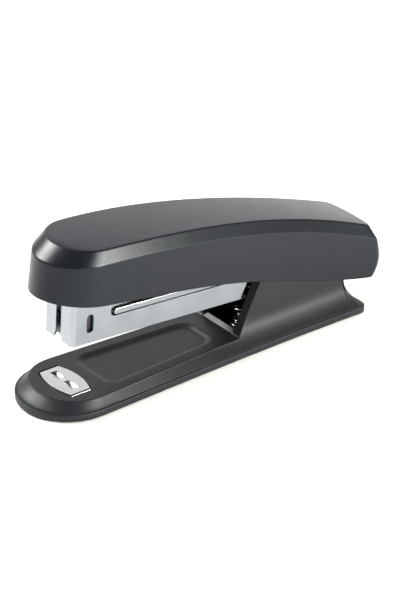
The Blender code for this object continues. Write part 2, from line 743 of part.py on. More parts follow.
FRAME_HALF = INSIDE - SIDE    # its arms run inside the magazine's
FRAME_T = 0.9
FRAME_TOP = 5.4       # distance from the cover's top down to the frame
FRAME_REAR_X = PIVOT_X - 17.0
LEAF_X = MAG_NOSE_X + 46.9
SCREW_X = (MAG_NOSE_X + 17.9, PIVOT_X - 35.0)
SCREW_R = 1.2
PRESS_DEG = 4.6       # how far the cover goes down onto the magazine
BLADE_T = 0.45
BLADE_U = SHEET + 0.5
BLADE_HALF = INSIDE - 0.65
BLADE_RIVET_W = 18.6
BLADE_RIVET_Y = FRAME_HALF - FRAME_T - 2.4      # clears the frame's walls by its head
FRAME_U = BLADE_U + BLADE_T + 0.15
SMALL_R = 1.0         # shank of the blade's and the leaf's rivets


def pressed_back(u, w):
    """World x and z, at rest, of a point given by its place in the magazine when pressed."""
    x, z = floor_at(u, w)
    a = math.radians(PRESS_DEG)
    dx, dz = x - PIVOT_X, z - PIVOT_Z
    return PIVOT_X + dx * math.cos(a) + dz * math.sin(a), PIVOT_Z - dx * math.sin(a) + dz * math.cos(a)


def frame_roof(inset):
    """The frame's roof line in the side view, from the rear to the nose."""
    stations = np.linspace(FRAME_REAR_X + 4, MAG_NOSE_X + 7.9, 12)
    points = [(float(x), float(TOP_Z(x) - FRAME_TOP - inset)) for x in stations]
    return points + [pressed_back(FRAME_U + inset, 22.5 - inset)]


def frame_outside():
    """Side view of the steel frame: a deep channel that ends in two eyes on the pin."""
    points = [pressed_back(FRAME_U, 14.4), (0.0, PIVOT_Z + 15.2), (FRAME_REAR_X, PIVOT_Z + 5.6)]
    eye = EAR_R - 0.3
    for k in range(17):
        a = math.radians(-150 + 220 * k / 16)
        points.append((PIVOT_X + eye * math.cos(a), PIVOT_Z + eye * math.sin(a)))
    return points + frame_roof(0.0)


def frame_inside():
    """Side view of what is hollow between the frame's two walls, open below and behind."""
    behind = FRAME_REAR_X + 12.0
    points = [pressed_back(FRAME_U + FRAME_T, 8.4), (0.0, PIVOT_Z + 7.0), (FRAME_REAR_X, PIVOT_Z - 13.0)]
    points += [(PIVOT_X + 8, PIVOT_Z - 13.0), (PIVOT_X + 8, PIVOT_Z + 9)]
    points.append((behind, float(TOP_Z(behind)) - FRAME_TOP + 1))
    return points + frame_roof(FRAME_T)


def build_cover():
    shell = stack("cover_shell", cover_rings(0.0))
    inner = cover_rings(WALL)
    below = (inner[0][0], lambda x: EDGE_Z(x) - 4.0)
    cut(shell, stack("cover_hollow", [below, *inner]))
    notch = UPRIGHT_OUT + 1.45
    cut(shell, box("rear_notch", PIVOT_X + 5.0, PIVOT_X + 17.0, -notch, notch, 0.0, PIVOT_Z - 2.0))
    for k, x in enumerate(SCREW_X):
        low = float(TOP_Z(x)) - FRAME_TOP + GAP + 1.3
        boss = rod(f"boss_{k}", (x, 0, low), (x, 0, float(TOP_Z(x)) - WALL / 2), SCREW_R + 1.6, 24)
        join(shell, boss)
        cut(shell, side_rod(f"boss_hole_{k}", (x, low - 2), (x, low + 2.2), 0, SCREW_R + GAP))
    return shell


def build_frame():
    frame = prism("cover_frame", frame_outside(), -FRAME_HALF, FRAME_HALF)
    half = FRAME_HALF - FRAME_T
    cut(frame, prism("frame_hollow", frame_inside(), -half, half))
    cut(frame, pin_rod("frame_bore", 20, PIN_R + RUN))
    for x, radius in ((SCREW_X[0], SCREW_R), (SCREW_X[1], SCREW_R), (LEAF_X, SMALL_R)):
        z = float(TOP_Z(x)) - FRAME_TOP
        cut(frame, side_rod(f"roof_hole_{int(x)}", (x, z - 3), (x, z + 2), 0, radius + GAP))
    cut_blade_holes(frame)
    return frame


def cut_blade_holes(piece):
    """The two holes through which the blade is riveted to the frame's nose."""
    front, back = pressed_back(-2.0, BLADE_RIVET_W), pressed_back(6.0, BLADE_RIVET_W)
    for side in (-1, 1):
        name = f"{piece.name}_hole_{side}"
        cut(piece, side_rod(name, front, back, side * BLADE_RIVET_Y, SMALL_R + GAP))


def build_blade():
    blade = box("driver_blade", BLADE_U, BLADE_U + BLADE_T, -BLADE_HALF, BLADE_HALF, 0.4, 22.3, pressed_back)
    cut_blade_holes(blade)
    rivets = []
    start = pressed_back(BLADE_U - 0.65, BLADE_RIVET_W)
    end = pressed_back(BLADE_U + 2.6, BLADE_RIVET_W)
    way = (end[0] - start[0], 0, end[1] - start[1])
    reach = FRAME_U - BLADE_U + FRAME_T + 0.65 + GAP
    profile = [(1.4, 0.0), (1.7, 0.2), (1.7, 0.45), (SMALL_R, 0.45), (SMALL_R, reach), (1.7, reach)]
    profile += [(1.7, reach + 0.3), (1.3, reach + 0.55)]
    for name, side in (("blade_rivet_near", -1), ("blade_rivet_far", 1)):
        rivets.append(turned(name, profile, (start[0], side * BLADE_RIVET_Y, start[1]), way, 20))
    return blade, rivets


def build_leaf():
    """A flat spring under the frame that reaches forward and down over the staples."""
    thick = 0.5
    xs = np.linspace(LEAF_X + 4.0, MAG_NOSE_X + 11.9, 14)

    def lower(x):
        ceiling = float(TOP_Z(x)) - FRAME_TOP - FRAME_T - GAP
        return ceiling - 0.0068 * max(LEAF_X - 3.0 - x, 0.0) ** 2

    top = [(float(x), lower(x)) for x in xs]
    outline = top + [(x, z - thick) for x, z in reversed(top)]
    leaf = prism("staple_leaf", outline, -3.0, 3.0)
    z = float(TOP_Z(LEAF_X)) - FRAME_TOP
    cut(leaf, side_rod("leaf_bore", (LEAF_X, z - 5), (LEAF_X, z + 2), 0, SMALL_R + GAP))
    low = z - FRAME_T - 2 * GAP - thick - 0.75
    reach = z + 0.35 - low
    profile = [(1.4, 0.0), (1.9, 0.2), (1.9, 0.45), (SMALL_R, 0.45), (SMALL_R, reach), (1.9, reach)]
    profile += [(1.9, reach + 0.25), (1.4, reach + 0.5)]
    rivet = turned("leaf_rivet", profile, (LEAF_X, 0, low), (0, 0, 1), 20)
    return leaf, rivet


def build_screws():
    made = []
    for name, x in zip(("frame_screw_front", "frame_screw_rear"), SCREW_X):
        under = float(TOP_Z(x)) - FRAME_TOP - FRAME_T
        low = under - GAP - 0.35 - 1.2
        profile = [(2.0, 0.0), (2.4, 0.4), (2.4, 1.2), (SCREW_R, 1.2), (SCREW_R, 5.4), (SCREW_R - 0.3, 5.8)]
        made.append(turned(name, profile, (x, 0, low), (0, 0, 1), 20))
    return made


def main():
    clear_scene()
    shell = build_base()
    pad = slab("base_pad", pad_outline(PAD_EDGE + GAP), 0.0, PAD_TOP)
    anvil = build_anvil()
    pin, rings = build_pivot()
    cup, lift_spring = build_lift_spring()
    channel = build_channel()
    rail = build_rail()
    rivets = build_rivets()
    bars = build_pull_bars()
    guide_rod, stop, pusher_spring = build_rod()
    pusher = build_pusher()
    cover = build_cover()
    frame = build_frame()
    blade, blade_rivets = build_blade()
    leaf, leaf_rivet = build_leaf()
    screws = build_screws()
    uses = {
        "plastic": [shell, cover],
        "rubber": [pad],
        "plate": [anvil, channel, rail, *bars, stop, pusher, frame, blade],
        "spring": [lift_spring, pusher_spring, leaf, guide_rod],
        "pin": [pin, *rings, cup, *rivets, *blade_rivets, leaf_rivet, *screws],
    }
    for kind, pieces in uses.items():
        for piece in pieces:
            piece.data.materials.clear()
            piece.data.materials.append(material(piece.name, *FINISHES[kind]))


main()
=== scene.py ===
import math

import bmesh
import bpy
import numpy as np
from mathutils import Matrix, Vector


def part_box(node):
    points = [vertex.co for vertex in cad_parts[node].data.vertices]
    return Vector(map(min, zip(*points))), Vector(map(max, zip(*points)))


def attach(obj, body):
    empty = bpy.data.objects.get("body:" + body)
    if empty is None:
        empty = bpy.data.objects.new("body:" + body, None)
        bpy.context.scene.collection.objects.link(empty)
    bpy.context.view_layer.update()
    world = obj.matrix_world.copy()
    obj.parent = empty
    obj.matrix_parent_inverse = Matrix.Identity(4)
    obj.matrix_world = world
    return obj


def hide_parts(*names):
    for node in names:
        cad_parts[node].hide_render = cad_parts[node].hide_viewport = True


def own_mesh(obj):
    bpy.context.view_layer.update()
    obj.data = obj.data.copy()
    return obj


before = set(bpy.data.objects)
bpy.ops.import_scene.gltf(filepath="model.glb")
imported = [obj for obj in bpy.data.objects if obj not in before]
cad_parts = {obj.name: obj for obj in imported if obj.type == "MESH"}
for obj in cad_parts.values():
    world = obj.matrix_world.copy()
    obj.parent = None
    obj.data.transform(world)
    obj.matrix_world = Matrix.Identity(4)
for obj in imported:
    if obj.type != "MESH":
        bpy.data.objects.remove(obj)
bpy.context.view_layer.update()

# ---------------------------------------------------------------------------
# Base: one moulding in black plastic. A low rim stands round its foot, a
# sloping side rises to the flat deck, and at the back the same side sweeps up
# into two walls that carry the pivot pin. The deck has a shallow dish.
# ---------------------------------------------------------------------------

MM = 0.001
FOOT_Z = 0.3
RIM_TOP = 2.9
SHADOW_TOP = 3.1        # foot of the sloping side, above the rim's shadow gap
DECK_Z = 6.0
BASE_NOSE = -69.65
BASE_REAR = 61.8
FOOT_NOSE_R = 18.4
FOOT_CORNER = 3.0
DECK_NOSE = BASE_NOSE + 5.0
DECK_REAR = BASE_REAR - 2.5
DECK_NOSE_R = 15.0
DECK_CORNER = 2.5
FLARE_TOP = 12.5        # the cove under the walls runs out here
WALL_OUT = 10.5
WALL_IN = 8.05
WALL_TOP = 27.5
WALLS_END = 57.7        # the walls' rear edge has come down to the deck here
WALL_LEAN = 1.2         # the leading edge runs this far forward from the outer to the inner face
EDGE_ROUND = 0.35
PIVOT_X = 57.0
PIVOT_Z = 23.0
EYE_R = 4.5
RECESS_TOP = 1.5        # ceiling of the recess that holds the pad
RECESS_EDGE = 2.0

foot_half = np.poly1d(np.polyfit([-50, -20, 8, 35, 62], [17.8, 16.9, 16.0, 15.9, 16.2], 3))
deck_half = np.poly1d([-0.059, 12.4])


def ease(low, high, value):
    """Smooth step: 0 below low, 1 above high, 3t2 - 2t3 between."""
    t = np.clip((value - low) / (high - low), 0.0, 1.0)
    return t * t * (3.0 - 2.0 * t)


def wall_crest(x):
    """Height of the side's upper edge: the deck, then the walls' leading edge, crest and back."""
    xs = [-80, 8.3, 9.2, 10.4, 12.0, 14.6, 18.6, 20.8, 54.75, 54.8, 55.6, 56.6, WALLS_END, 70]
    zs = [DECK_Z, DECK_Z, 6.8, 8.0, 10.3, 15.6, 23.3, WALL_TOP, WALL_TOP, 13.2, 10.6, 8.0, DECK_Z, DECK_Z]
    return np.interp(x, xs, zs)


def side_half(x, z):
    """Half width of the outer side at (x, z): a straight slope at the nose, a cove under the walls."""
    foot = foot_half(x) - 0.75
    rise = np.clip((z - SHADOW_TOP) / (DECK_Z - SHADOW_TOP), 0.0, 1.0)
    slope = foot + (deck_half(x) - foot) * rise
    drop = np.clip((FLARE_TOP - z) / (FLARE_TOP - SHADOW_TOP), 0.0, 1.0)
    cove = WALL_OUT + (foot - WALL_OUT) * drop ** 2.6
    return slope + (cove - slope) * ease(-6.0, 11.0, x)


def dish_depth(x, y, deep=0.95, corner=5.5, soft=2.6):
    """Depth of the deck's dish: distance inside a rounded, tapering rectangle, eased to a flat floor."""
    half_width = 11.4 - 0.060 * (x + 44.0)
    middle_x, half_length = -20.8, 23.2
    across = np.abs(y) - (half_width - corner)
    along = np.abs(x - middle_x) - (half_length - corner)
    outside = np.hypot(np.maximum(across, 0.0), np.maximum(along, 0.0))
    inside = np.minimum(np.maximum(across, along), 0.0)
    return deep * ease(0.0, soft, corner - outside - inside)


def plan_row(tip, nose_r, half, rear, corner, share):
    """x and y of a plan outline: a quarter ellipse, a long side, and a round rear corner."""
    nose, side, back = share
    first, last = tip + nose_r, rear - corner
    x_nose = tip + nose_r * (1.0 - np.cos(nose))
    x_side = first + (last - first) * side
    x_back = last + corner * np.sin(back)
    y_back = half(last) - corner * (1.0 - np.cos(back))
    y = np.concatenate([half(x_nose) * np.sin(nose), half(x_side), y_back])
    return np.concatenate([x_nose, x_side, x_back]), y


def new_piece(name, points, faces, sharp=30.0):
    """A mesh object from points in millimetres and faces, welded, outward, with crisp edges kept."""
    mesh = bpy.data.meshes.new(name)
    mesh.from_pydata(np.asarray(points, float).reshape(-1, 3) * MM, [], [tuple(map(int, f)) for f in faces])
    work = bmesh.new()
    work.from_mesh(mesh)
    bmesh.ops.remove_doubles(work, verts=work.verts, dist=2e-6)
    bmesh.ops.dissolve_degenerate(work, edges=work.edges, dist=1e-7)
    bmesh.ops.recalc_face_normals(work, faces=work.faces)
    work.to_mesh(mesh)
    work.free()
    mesh.polygons.foreach_set("use_smooth", np.ones(len(mesh.polygons), bool))
    mesh.set_sharp_from_angle(angle=math.radians(sharp))
    piece = bpy.data.objects.new(name, mesh)
    bpy.context.scene.collection.objects.link(piece)
    return piece


def quads(rows, columns, start=0):
    """Faces of a grid of rows by columns of points, counted row by row."""
    r, c = np.meshgrid(np.arange(rows - 1), np.arange(columns - 1), indexing="ij")
    a = (start + r * columns + c).ravel()
    return np.stack([a, a + 1, a + columns + 1, a + columns], axis=1).tolist()


def carve(piece, *tools):
    """Cuts closed tool shapes out of a piece and keeps only the result."""
    for tool in tools:
        step = piece.modifiers.new(tool.name, "BOOLEAN")
        step.operation = "DIFFERENCE"
        step.solver = "EXACT"
        step.object = tool
    made = bpy.data.meshes.new_from_object(piece.evaluated_get(bpy.context.evaluated_depsgraph_get()))
    piece.modifiers.clear()
    piece.data = made
    for tool in tools:
        bpy.data.objects.remove(tool)
    made.polygons.foreach_set("use_smooth", np.ones(len(made.polygons), bool))
    made.set_sharp_from_angle(angle=math.radians(30.0))


def drawn_out(name, outline, low, high, turn):
    """A closed outline of (a, b) pairs drawn from low to high; turn maps a, b, c to x, y, z."""
    a, b = np.asarray(outline, float).T
    n = len(a)
    ends = [np.stack(np.broadcast_arrays(*turn(a, b, c)), axis=1) for c in (low, high)]
    sides = [[i, (i + 1) % n, n + (i + 1) % n, n + i] for i in range(n)]
    return new_piece(name, np.concatenate(ends), [list(range(n)), list(range(n, 2 * n)), *sides])


def side_view(a, b, c):
    """An outline seen from the side: a is x, b is z, and it is drawn out along y."""
    return a, c, b


def top_view(a, b, c):
    """An outline seen from above: a is x, b is y, and it is drawn out along z."""
    return a, b, c


def whole_skin(rows, first, last):
    """Points and faces of a body from the rows of its half. The rows are mirrored across the middle
    plane. Their rear ends are joined by a strip from row first to row last, and by a cap at each end."""
    rows_x, rows_y, rows_z = (np.stack([row[k] for row in rows]) for k in range(3))
    count, columns = rows_x.shape
    halves = [np.stack([rows_x, side * rows_y, rows_z], axis=2).reshape(-1, 3) for side in (1, -1)]
    faces = quads(count, columns) + quads(count, columns, count * columns)
    near = [r * columns + columns - 1 for r in range(count)]
    far = [count * columns + i for i in near]
    faces += [[near[r], near[r + 1], far[r + 1], far[r]] for r in range(first, last)]
    faces.append([*near[last:], *reversed(far[last:-1])])
    faces.append([*near[: first + 1], *reversed(far[1 : first + 1])])
    return np.concatenate(halves), faces


nose_share = np.linspace(0.0, math.pi / 2, 40)[:-1]
side_spans = [np.linspace(0, 0.5, 110), np.linspace(0.5, 0.69, 90), np.linspace(0.69, 1.0, 100)]
side_share = np.unique(np.concatenate(side_spans))
back_share = np.linspace(0.0, math.pi / 2, 10)[1:]
base_share = (nose_share, side_share, back_share)


def rim_row(inset):
    """Plan of the foot's rim, drawn in by inset all round."""
    nose, rear = BASE_NOSE + inset, BASE_REAR - inset
    return plan_row(nose, FOOT_NOSE_R, lambda x: foot_half(x) - inset, rear, FOOT_CORNER, base_share)


rim_profile = [(0.5, FOOT_Z), (0.22, 0.36), (0.06, 0.52), (0.0, 0.75), (0.0, 2.0)]
rim_profile += [(0.0, 2.62), (0.05, 2.78), (0.2, 2.88), (0.4, RIM_TOP), (0.62, RIM_TOP)]
recess_x, recess_y = rim_row(RECESS_EDGE)
rows = [(recess_x, recess_y * share, np.full_like(recess_x, RECESS_TOP)) for share in (0.0, 0.5, 1.0)]
rows.append((recess_x, recess_y, np.full_like(recess_x, FOOT_Z)))
for inset, z in rim_profile:
    x, y = rim_row(inset)
    rows.append((x, y, np.full_like(x, z)))

# The side climbs from the shadow gap to the crest. The nose has a straight slope, the rest side_half.
low_x, low_y = rim_row(0.75)
edge_x, edge_y = plan_row(DECK_NOSE, DECK_NOSE_R, deck_half, DECK_REAR, DECK_CORNER, base_share)
crest = wall_crest(edge_x)
past_nose = ease(-47.0, -40.0, edge_x)
for v in np.concatenate([np.linspace(0.0, 0.97, 44), [0.985, 1.0]]):
    z = SHADOW_TOP + (crest - EDGE_ROUND - SHADOW_TOP) * v ** 1.35
    x = low_x + (edge_x - low_x) * v
    climb = np.clip((z - SHADOW_TOP) / (DECK_Z - SHADOW_TOP), 0.0, 1.0)
    straight = low_y + (edge_y - low_y) * climb ** 0.9
    y = straight + (side_half(x, z) - straight) * past_nose
    y = np.where(edge_x > WALLS_END, np.minimum(y, low_y + (edge_y - low_y) * v), y)
    rows.append((x, np.maximum(y, 0.0), z))

# The upper edge is rounded by a quarter circle, squeezed flat where it reaches the middle plane.
last_y = rows[-1][1]
squeeze = np.minimum(1.0, last_y / 0.6)
for k in range(1, 6):
    a = 0.5 * math.pi * k / 5
    shift = EDGE_ROUND * (1.0 - math.cos(a)) * squeeze
    z = crest - EDGE_ROUND + EDGE_ROUND * math.sin(a)
    rows.append((edge_x + shift * (edge_x < -50) * 0.8, last_y - shift, z))

# The top runs in to the middle plane, with the dish pressed into the deck ahead of the walls.
top_x, top_y, top_z = rows[-1]
lean = WALL_LEAN * ease(8.5, 11.0, top_x) * (1.0 - ease(20.0, 30.0, top_x))
deck_steps = np.concatenate([np.linspace(0.02, 0.6, 44), np.linspace(0.62, 1.0, 22)])
for q in deck_steps:
    y = top_y * (1.0 - q)
    x = top_x - lean * np.clip((top_y - y) / (WALL_OUT - WALL_IN), 0.0, 1.0)
    rows.append((x, y, top_z - dish_depth(x, y) * (top_x < 8.0)))
recess_row, crest_row = 2, len(rows) - len(deck_steps) - 1
base_body = new_piece("base_body", *whole_skin(rows, recess_row, crest_row))

ANVIL_X = -53.7
ANVIL_HALF = 8.8        # half its width, across the base
ANVIL_END = 3.7         # half its length at the ends
ANVIL_BOW = 1.75        # how far its long edges bow out in the middle


def anvil_edge(grow, ends, count=40):
    """Plan outline of the anvil: straight ends, with front and rear edges bowed by a parabola."""
    half = ANVIL_HALF + ends
    y = np.linspace(-half, half, count)
    bow = ANVIL_END + grow + ANVIL_BOW * (1.0 - (y / half) ** 2)
    return np.concatenate([np.stack([ANVIL_X - bow, -y], 1), np.stack([ANVIL_X + bow, y], 1)])


# The well is open between the walls. Its tool stays a hair above the deck, so that the deck is kept.
WELL_FLOOR = 2.6
WELL_FRONT = 11.3
WELL_REAR = 50.0
over_deck = DECK_Z + 0.001
well_side = [(3.0, over_deck), (WELL_FRONT, over_deck), (WELL_FRONT, WELL_FLOOR), (WELL_REAR, WELL_FLOOR)]
well_side += [(WELL_REAR, over_deck), (66.0, over_deck), (66.0, 30.0), (3.0, 30.0)]
carve(
    base_body,
    drawn_out("well_tool", well_side, -WALL_IN, WALL_IN, side_view),
    drawn_out("pocket_tool", anvil_edge(0.12, 1.3), 4.0, 7.0, top_view),
)


def wall_eye(name, side):
    """The round eye of a wall: a half circle round the pin on a short foot, drawn through the wall."""
    a = np.radians(np.linspace(-92, 90, 40))
    ring = np.stack([PIVOT_X + EYE_R * np.cos(a), PIVOT_Z + EYE_R * np.sin(a)], 1)
    foot = [(54.7, WALL_TOP - 0.01), (54.7, 13.25), (55.1, 14.3), (55.7, 16.0), (56.3, 17.6)]
    low, high = sorted((side * (WALL_IN + 0.01), side * (WALL_OUT - 0.01)))
    return drawn_out(name, np.concatenate([foot, ring]), low, high, side_view)


eye_near = wall_eye("base_ear_near", -1)
eye_far = wall_eye("base_ear_far", 1)

stop_side = [(8.7, 5.5), (8.7, DECK_Z), (9.98, 7.0), (10.08, 7.06), (10.2, 7.1)]
stop_side += [(10.55, 7.1), (10.66, 7.05), (10.7, 6.95), (10.7, 5.5)]
paper_stop = drawn_out("paper_stop", stop_side, -WALL_IN - 0.2, WALL_IN + 0.2, side_view)


def nodes_of(name):
    """A new material's node tree, its shader, and a function that adds a node to it."""
    made = bpy.data.materials.new(name)
    made.use_nodes = True
    tree = made.node_tree
    shader = tree.nodes["Principled BSDF"]

    def add(kind, inputs=(), **settings):
        node = tree.nodes.new(kind)
        for key, value in settings.items():
            setattr(node, key, value)
        for key, value in dict(inputs).items():
            if isinstance(value, bpy.types.NodeSocket):
                tree.links.new(value, node.inputs[key])
            else:
                node.inputs[key].default_value = value
        return node

    return made, tree, shader, add


def blended(add, factor, dark, light):
    """A colour that runs from dark to light with a factor."""
    mix = add("ShaderNodeMix", {0: factor, 6: (*dark, 1.0), 7: (*light, 1.0)}, data_type="RGBA")
    return mix.outputs[2]


def between(add, factor, low, high):
    """A number that runs from low to high with a factor."""
    spread = add("ShaderNodeMapRange", {0: factor, 3: low, 4: high})
    return spread.outputs[0]


def satin_plastic(name, dark, light, rough):
    """Moulded black plastic: spark-eroded grain, faint cloudy sheen, rubbed patches a touch glossier."""
    made, tree, shader, add = nodes_of(name)
    place = add("ShaderNodeTexCoord").outputs["Object"]
    cloud = add("ShaderNodeTexNoise", {"Vector": place, "Scale": 70.0, "Detail": 3.0, "Roughness": 0.6})
    grain = add("ShaderNodeTexNoise", {"Vector": place, "Scale": 5200.0, "Detail": 2.0, "Roughness": 0.55})
    pits = add("ShaderNodeTexVoronoi", {"Vector": place, "Scale": 3400.0})
    rub = add("ShaderNodeTexNoise", {"Vector": place, "Scale": 260.0, "Detail": 5.0, "Roughness": 0.7})
    colour = blended(add, cloud.outputs["Fac"], dark, light)
    shader.inputs["Specular Tint"].default_value = (0.84, 0.91, 1.0, 1.0)
    shader.inputs["Specular IOR Level"].default_value = 0.32
    tree.links.new(colour, shader.inputs["Base Color"])
    tree.links.new(between(add, rub.outputs["Fac"], rough - 0.07, rough + 0.07), shader.inputs["Roughness"])
    skin = add("ShaderNodeMath", {0: grain.outputs["Fac"], 1: pits.outputs["Distance"]}, operation="ADD")
    bump = add("ShaderNodeBump", {"Height": skin.outputs[0], "Strength": 0.22, "Distance": 0.00004})
    tree.links.new(bump.outputs["Normal"], shader.inputs["Normal"])
    return made


def finish_piece(piece, look, body, nodes=()):
    """Gives a piece its material and the body that it rides on, and hides the CAD nodes that it stands for.
    """
    piece.data.materials.clear()
    piece.data.materials.append(look)
    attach(piece, body)
    if nodes:
        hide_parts(*nodes)


BASE_BLACK = (0.0058, 0.0063, 0.0080)
BASE_GREY = (0.0100, 0.0108, 0.0134)
base_plastic = satin_plastic("base_black_plastic", BASE_BLACK, BASE_GREY, 0.44)
finish_piece(base_body, base_plastic, "base", ["base_shell"])
for piece in (eye_near, eye_far, paper_stop):
    finish_piece(piece, base_plastic, "base", ())

# ---------------------------------------------------------------------------
# Base pad: a black rubber plate pressed into the underside. Its sole has
# shallow cross grooves so that it grips the table.
# ---------------------------------------------------------------------------

PAD_TOP = 1.2
PAD_EDGE = 2.3
SOLE_EDGE = 0.4         # the sole's edge is rounded in by this
GROOVE_DEEP = 0.4
GROOVE_PITCH = 6.0
pad_share = (nose_share[::2], np.linspace(0, 1, 260), back_share)


def pad_row(inset, z, share=1.0):
    """A level run round the pad, drawn in by inset, with y scaled to a share of its half width."""
    edge = PAD_EDGE + inset
    x, y = plan_row(
        BASE_NOSE + edge, 16.7 - inset, lambda v: foot_half(v) - edge, BASE_REAR - edge, 2.2, pad_share
    )
    return x, y * share, np.full_like(x, z)


def grooved(row):
    """The row lifted where a cosine along x nears its peak; the grooves bend forward at their ends."""
    x, y, z = row
    wave = np.cos(2 * math.pi * (x + 0.25 * np.abs(y)) / GROOVE_PITCH)
    return x, y, z + GROOVE_DEEP * ease(0.62, 0.8, wave)


pad_rows = [pad_row(0.0, PAD_TOP, share) for share in (0.0, 0.5, 1.0)]
pad_rows += [pad_row(inset, z) for inset, z in ((0.0, 0.35), (0.06, 0.16), (0.2, 0.04), (SOLE_EDGE, 0.0))]
pad_rows += [pad_row(SOLE_EDGE, 0.0, 0.95)]
pad_rows += [grooved(pad_row(SOLE_EDGE, 0.0, share)) for share in (0.925, 0.92, 0.8, 0.6, 0.4, 0.2, 0.0)]
top_row, sole_row = 2, 6
rubber_pad = new_piece("rubber_pad", *whole_skin(pad_rows, top_row, sole_row), 45.0)


def matt_rubber(name):
    """Black rubber: dull, with a fine powdery grain and greyer rubbed patches."""
    made, tree, shader, add = nodes_of(name)
    place = add("ShaderNodeTexCoord").outputs["Object"]
    dust = add("ShaderNodeTexNoise", {"Vector": place, "Scale": 150.0, "Detail": 6.0, "Roughness": 0.7})
    grain = add("ShaderNodeTexNoise", {"Vector": place, "Scale": 4200.0, "Detail": 3.0})
    colour = blended(add, dust.outputs["Fac"], (0.012, 0.012, 0.013), (0.030, 0.029, 0.028))
    tree.links.new(colour, shader.inputs["Base Color"])
    tree.links.new(between(add, dust.outputs["Fac"], 0.72, 0.92), shader.inputs["Roughness"])
    bump = add("ShaderNodeBump", {"Height": grain.outputs["Fac"], "Strength": 0.4, "Distance": 0.00006})
    tree.links.new(bump.outputs["Normal"], shader.inputs["Normal"])
    return made


finish_piece(rubber_pad, matt_rubber("pad_black_rubber"), "base", ["base_pad"])

# ---------------------------------------------------------------------------
# Anvil: a stamped, nickel-plated steel plate snapped into the nose of the
# base. Its ends are bent down and two troughs turn the staple legs inward.
# ---------------------------------------------------------------------------

ANVIL_TOP = 6.2
ANVIL_SHEET = 0.8
FLAT_HALF = 8.6         # half width of the flat between the bent ends
TROUGH_Y = 3.7
TROUGH_HALF = 3.15
TROUGH_WIDE = 1.35
TROUGH_DEEP = 1.1


def anvil_sheet(bend=0.75, drop=1.0, flat_steps=150):
    """Points of the plate's top: along y a flat with a quarter bend at each end, bowed across x. A
    trough is the product of two parabolas, one along it and one across, deeper at its outer end."""
    a = np.linspace(0, math.pi / 2, 8)
    end_y = ANVIL_HALF - 0.05 + bend * np.sin(a)
    end_z = ANVIL_TOP - bend * (1 - np.cos(a))
    flat_y = np.linspace(-FLAT_HALF, FLAT_HALF, flat_steps)
    foot_z = end_z[-1] - drop
    y = np.concatenate([[-end_y[-1]], -end_y[::-1], flat_y, end_y, [end_y[-1]]])
    z = np.concatenate([[foot_z], end_z[::-1], np.full(flat_steps, ANVIL_TOP), end_z, [foot_z]])
    outer = np.linspace(0.5, 1, 20)
    across = np.concatenate([-outer[::-1], np.linspace(-0.48, 0.48, 44), outer])
    bow = ANVIL_END + ANVIL_BOW * np.clip(1.0 - (y / ANVIL_HALF) ** 2, 0, None)
    yy, tt = np.meshgrid(y, across, indexing="ij")
    x = ANVIL_X + tt * bow[:, None]
    long = (np.abs(yy) - TROUGH_Y) / TROUGH_HALF
    wide = (x - ANVIL_X) / (TROUGH_WIDE + 0.18 * long)
    round_in = np.clip(1.0 - long ** 2, 0, 1) * np.clip(1.0 - wide ** 2, 0, 1)
    ramp = 0.75 + 0.25 * np.clip(long, -1, 1)
    return x, yy, z[:, None] - TROUGH_DEEP * round_in ** 1.25 * ramp


sheet_x, sheet_y, sheet_z = anvil_sheet()
points = np.stack([sheet_x, sheet_y, sheet_z], axis=2).reshape(-1, 3)
anvil = new_piece("clinch_anvil", points, quads(*sheet_x.shape), 40.0)
if anvil.data.polygons[len(anvil.data.polygons) // 2].normal.z < 0:
    anvil.data.flip_normals()
skin = anvil.modifiers.new("sheet", "SOLIDIFY")
skin.thickness = ANVIL_SHEET * MM
skin.offset = -1.0
edge = anvil.modifiers.new("edge", "BEVEL")
edge.width = 0.14 * MM
edge.segments = 2
edge.limit_method = "ANGLE"
edge.angle_limit = math.radians(60)


def plated_steel(name, dark, light, rough, streak=(18.0, 320.0, 320.0), tilt=0.0, depth=0.10):
    """Plated sheet steel: rolling streaks along one way, handling haze, tiny pits in the plating."""
    made, tree, shader, add = nodes_of(name)
    shader.inputs["Metallic"].default_value = 1.0
    place = add("ShaderNodeTexCoord").outputs["Object"]
    along = add("ShaderNodeMapping", {"Vector": place, "Rotation": (0.0, tilt, 0.0), "Scale": streak})
    rolled = add(
        "ShaderNodeTexNoise", {"Vector": along.outputs[0], "Scale": 14.0, "Detail": 4.0, "Roughness": 0.65}
    )
    haze = add("ShaderNodeTexNoise", {"Vector": place, "Scale": 110.0, "Detail": 4.0, "Roughness": 0.6})
    pits = add("ShaderNodeTexVoronoi", {"Vector": place, "Scale": 900.0})
    pit_edge = add("ShaderNodeMapRange", {0: pits.outputs["Distance"], 1: 0.0, 2: 0.12})
    tree.links.new(blended(add, haze.outputs["Fac"], dark, light), shader.inputs["Base Color"])
    mixed = add("ShaderNodeMath", {0: haze.outputs["Fac"], 1: rolled.outputs["Fac"]}, operation="MULTIPLY")
    tree.links.new(between(add, mixed.outputs[0], rough - 0.08, rough + 0.22), shader.inputs["Roughness"])
    height = add("ShaderNodeMath", {0: rolled.outputs["Fac"], 1: pit_edge.outputs[0]}, operation="ADD")
    bump = add("ShaderNodeBump", {"Height": height.outputs[0], "Strength": depth, "Distance": 0.00003})
    tree.links.new(bump.outputs["Normal"], shader.inputs["Normal"])
    return made


ROLLED_ACROSS = (300.0, 20.0, 300.0)
anvil_steel = plated_steel("anvil_nickel", (0.48, 0.49, 0.50), (0.60, 0.61, 0.62), 0.24, ROLLED_ACROSS)
finish_piece(anvil, anvil_steel, "base", ["anvil_plate"])

# ---------------------------------------------------------------------------
# Pivot pin: a turned steel pin through both walls, with domed ends, held by
# a thin spring ring on each side.
# ---------------------------------------------------------------------------

